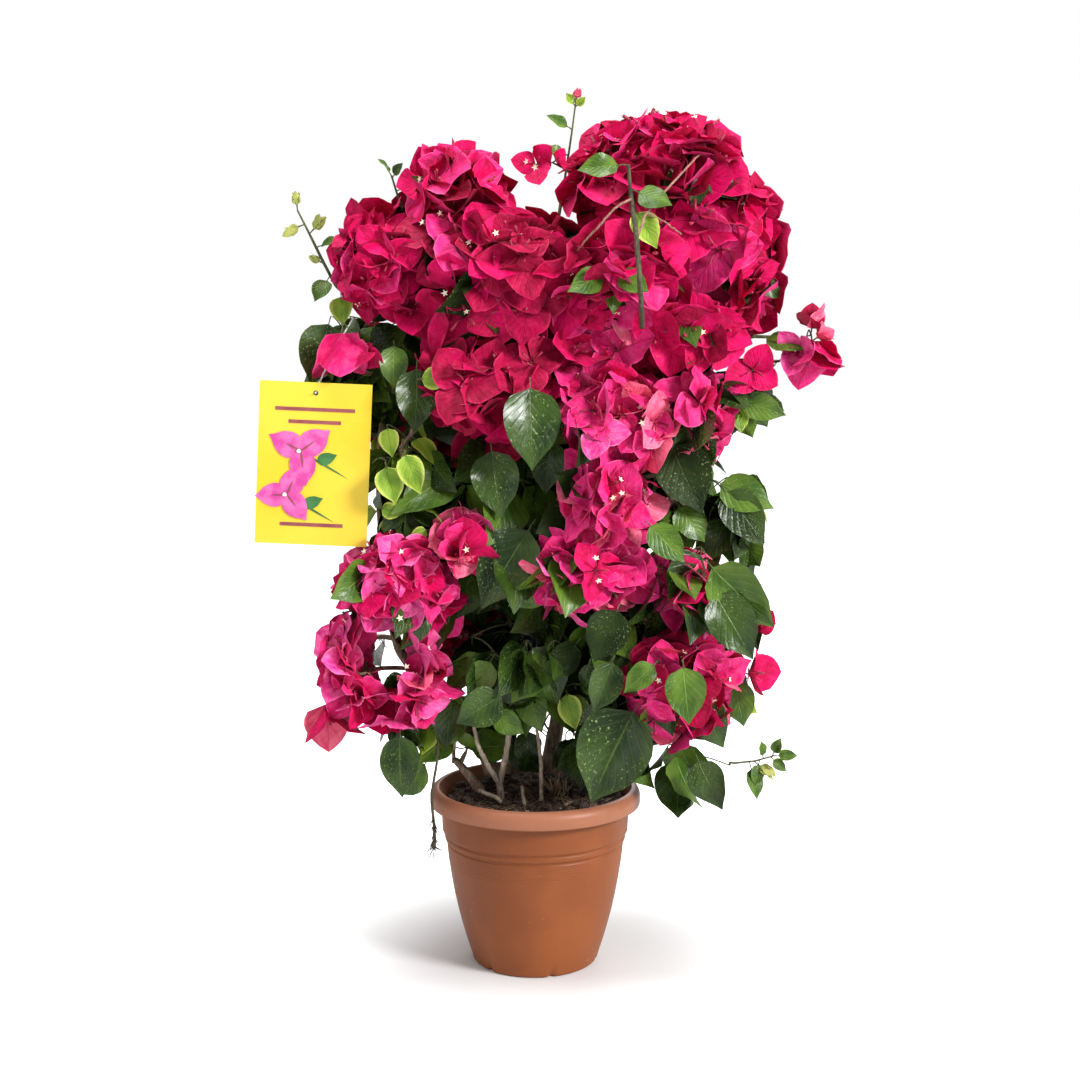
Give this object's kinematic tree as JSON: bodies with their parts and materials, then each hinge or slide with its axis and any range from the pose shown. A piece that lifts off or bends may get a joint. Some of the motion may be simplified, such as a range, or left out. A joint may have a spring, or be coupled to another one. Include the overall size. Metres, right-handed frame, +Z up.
{
  "type": "potted bougainvillea bush",
  "caption": "Upright, fairly flat bougainvillea bush in a round terracotta-coloured plastic pot, crimson and magenta bloom over dark leaves, with a yellow care card",
  "frame": {"origin": "the centre of the pot's flat underside, on the floor", "axes": "+Z up; -Y the front of the bush, where the most bloom shows; +X to the right seen from the front, away from the care card"},
  "size_m": [0.5618, 0.27, 0.8681],
  "materials": {
    "pot_plastic": "satin",
    "soil": "matte",
    "bark": "matte",
    "green_shoot": "satin",
    "bloom": "matte",
    "foliage": "satin",
    "card": "gloss",
    "tie": "satin"
  },
  "bodies": {
    "root": {"pot": "pot_plastic", "soil": "soil", "care_card": "card", "care_card_tie": "tie", "stem_left": "bark", "stem_centre": "bark", "stem_right": "bark", "stem_crown": "bark", "stem_cut_back": "bark", "shoot_top": "green_shoot", "shoot_cut_stick": "green_shoot", "shoot_left_top": "green_shoot", "shoot_upper_left": "green_shoot", "shoot_low_right": "green_shoot", "bough_far_right": "green_shoot", "bough_right_tip": "green_shoot", "bloom_by_card": "bloom", "bloom_single_top": "bloom", "bloom_hanging": "bloom", "bloom_far_right": "bloom", "bloom_single_right": "bloom", "bloom_right_tip": "bloom", "bloom_left_mid": "bloom", "bloom_right_mid": "bloom", "bloom_centre": "bloom", "bloom_centre_low": "bloom", "bloom_band": "bloom", "bloom_band_right": "bloom", "bloom_right_low": "bloom", "bloom_left_low": "bloom", "bloom_left_skirt": "bloom", "bloom_upper_left": "bloom", "bloom_front_right": "bloom", "bloom_shoulder": "bloom", "bloom_top_left": "bloom", "bloom_top_right": "bloom", "bloom_right": "bloom", "bloom_heart_low": "bloom", "bloom_heart": "bloom", "bloom_back_heart": "bloom", "bloom_back_left": "bloom", "bloom_back_right": "bloom", "bloom_back_low": "bloom", "foliage_right_top": "foliage", "foliage_bottom_right": "foliage", "foliage_upper_left": "foliage", "foliage_left": "foliage", "foliage_centre_dark": "foliage", "foliage_centre": "foliage", "foliage_mid_right": "foliage", "foliage_right": "foliage", "foliage_right_large": "foliage", "foliage_low_centre": "foliage", "foliage_low_right": "foliage", "foliage_low_right_edge": "foliage", "foliage_low_left": "foliage", "foliage_back_high": "foliage", "foliage_back_low": "foliage"}
  },
  "joints": []
}
